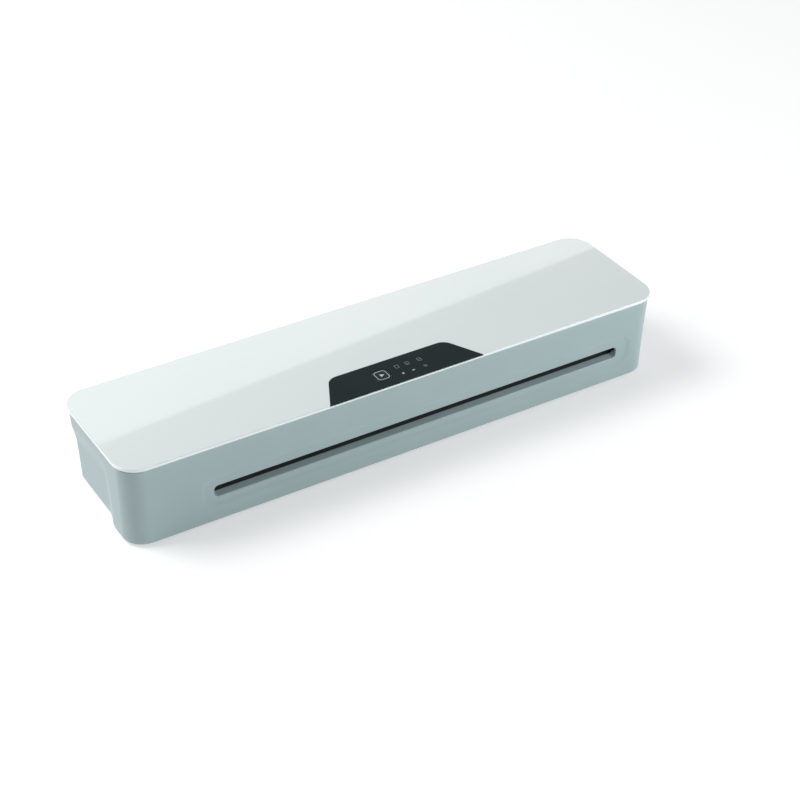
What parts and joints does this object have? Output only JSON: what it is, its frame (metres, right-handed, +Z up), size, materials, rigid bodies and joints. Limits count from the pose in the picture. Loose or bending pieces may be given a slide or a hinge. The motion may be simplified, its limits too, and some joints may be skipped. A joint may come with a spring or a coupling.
{
  "type": "pouch laminator",
  "caption": "Slim desktop pouch laminator with a rear entry throat, heated roller pairs, gear drive, front exit slot, start key, release lever and power switch.",
  "frame": {"origin": "centre of the footprint on the surface it stands on, under the middle of the top cover", "axes": "+X along the length to the right as seen from the exit side, +Y from the exit side to the entry side, +Z up"},
  "size_m": [0.414, 0.101, 0.065],
  "materials": {
    "case_abs": "light grey moulded ABS, fine satin texture",
    "cover_abs": "white high-gloss moulded ABS",
    "lens_acrylic": "smoked acrylic, polished",
    "button_abs": "gloss black ABS with a printed outline",
    "guide_pbt": "black heat-resistant PBT",
    "base_abs": "dark grey moulded ABS",
    "black_plastic": "black nylon",
    "foot_rubber": "black rubber",
    "screw_steel": "zinc-plated steel",
    "sheet_steel": "galvanised sheet steel",
    "core_steel": "ground steel bar",
    "heater_aluminium": "extruded aluminium, matt",
    "heater_mica": "mica-paper heating element",
    "roller_silicone": "red-brown silicone rubber",
    "gear_nylon": "natural nylon",
    "pinion_brass": "turned brass",
    "motor_steel": "pressed steel can",
    "board_green": "solder-masked glass epoxy",
    "part_black": "moulded electronic parts",
    "cutout_black": "phenolic body",
    "bead_red": "glass-coated bead",
    "guide_clear": "clear polycarbonate",
    "lead_grey": "silicone insulated leads",
    "spring_steel": "spring wire"
  },
  "bodies": {
    "case": {"body_shell": "case_abs", "base_plate": "base_abs", "top_cover": "cover_abs", "panel_lens": "lens_acrylic", "lower_entry_guide": "guide_pbt", "upper_entry_guide": "guide_pbt", "lower_exit_guide": "guide_pbt", "upper_exit_guide": "guide_pbt", "rubber_feet": "foot_rubber", "base_screws": "screw_steel", "machine_screws": "screw_steel", "left_frame": "sheet_steel", "right_frame": "sheet_steel", "tie_rods": "core_steel", "lower_heater_plate": "heater_aluminium", "upper_heater_plate": "heater_aluminium", "lower_heater_element": "heater_mica", "upper_heater_element": "heater_mica", "lower_heat_shield": "sheet_steel", "upper_heat_shield": "sheet_steel", "thermal_cutout": "cutout_black", "thermistor": "bead_red", "lower_bushes": "gear_nylon", "pressure_springs": "spring_steel", "idler_stud": "core_steel", "motor": "motor_steel", "motor_bracket": "sheet_steel", "main_board": "board_green", "board_parts": "part_black", "control_board": "board_green", "light_guides": "guide_clear", "switch_housing": "black_plastic", "cord_gland": "black_plastic", "wiring_leads": "lead_grey"},
    "lower_front_roller": {"lower_front_core": "core_steel", "lower_front_sleeve": "roller_silicone", "lower_front_gear": "gear_nylon", "lower_front_clips": "spring_steel"},
    "lower_rear_roller": {"lower_rear_core": "core_steel", "lower_rear_sleeve": "roller_silicone", "lower_rear_gear": "gear_nylon", "lower_rear_clips": "spring_steel"},
    "upper_carriage": {"lift_yoke": "sheet_steel", "upper_bushes": "gear_nylon"},
    "upper_front_roller": {"upper_front_core": "core_steel", "upper_front_sleeve": "roller_silicone", "upper_front_gear": "gear_nylon"},
    "upper_rear_roller": {"upper_rear_core": "core_steel", "upper_rear_sleeve": "roller_silicone", "upper_rear_gear": "gear_nylon"},
    "idler": {"idler_gear": "gear_nylon"},
    "motor_output": {"motor_shaft": "core_steel", "motor_pinion": "pinion_brass"},
    "release": {"release_shaft": "core_steel", "release_cams": "gear_nylon", "release_lever": "black_plastic"},
    "start_key": {"start_button": "button_abs"},
    "power_key": {"power_rocker": "black_plastic"}
  },
  "joints": [
    {"name": "lower_front_spin", "type": "hinge", "parent": "case", "child": "lower_front_roller", "pos_m": [0, -0.022, 0.0193], "axis": [1, 0, 0], "continuous": true},
    {"name": "lower_rear_spin", "type": "hinge", "parent": "case", "child": "lower_rear_roller", "pos_m": [0, 0.022, 0.0193], "axis": [1, 0, 0], "continuous": true},
    {"name": "carriage_lift", "type": "slide", "parent": "case", "child": "upper_carriage", "axis": [0, 0, 1], "range_m": [0, 0.0012], "deforming": ["pressure_springs"]},
    {"name": "upper_front_spin", "type": "hinge", "parent": "upper_carriage", "child": "upper_front_roller", "pos_m": [0, -0.022, 0.0373], "axis": [1, 0, 0], "continuous": true},
    {"name": "upper_rear_spin", "type": "hinge", "parent": "upper_carriage", "child": "upper_rear_roller", "pos_m": [0, 0.022, 0.0373], "axis": [1, 0, 0], "continuous": true},
    {"name": "idler_spin", "type": "hinge", "parent": "case", "child": "idler", "pos_m": [0, 0, 0.02889], "axis": [1, 0, 0], "continuous": true},
    {"name": "motor_spin", "type": "hinge", "parent": "case", "child": "motor_output", "pos_m": [0, 0, 0.05089], "axis": [1, 0, 0], "continuous": true},
    {"name": "release_swing", "type": "hinge", "parent": "case", "child": "release", "pos_m": [0, 0.036, 0.046], "axis": [-1, 0, 0], "range_deg": [0, 44.1]},
    {"name": "start_press", "type": "slide", "parent": "case", "child": "start_key", "axis": [0, 0, -1], "range_m": [0, 0.0006], "stiffness_N_per_m": 400},
    {"name": "power_rock", "type": "hinge", "parent": "case", "child": "power_key", "pos_m": [-0.168, 0.044, 0.042], "axis": [0, 0, -1], "range_deg": [0, 14]}
  ],
  "couplings": [
    {"joint": "lower_rear_spin", "follows": "lower_front_spin", "ratio": 1},
    {"joint": "upper_front_spin", "follows": "lower_front_spin", "ratio": -1},
    {"joint": "upper_rear_spin", "follows": "lower_front_spin", "ratio": -1},
    {"joint": "idler_spin", "follows": "lower_front_spin", "ratio": -0.6},
    {"joint": "motor_spin", "follows": "lower_front_spin", "ratio": 1.2857},
    {"joint": "release_swing", "follows": "carriage_lift", "rad_per_m": 639.95}
  ]
}
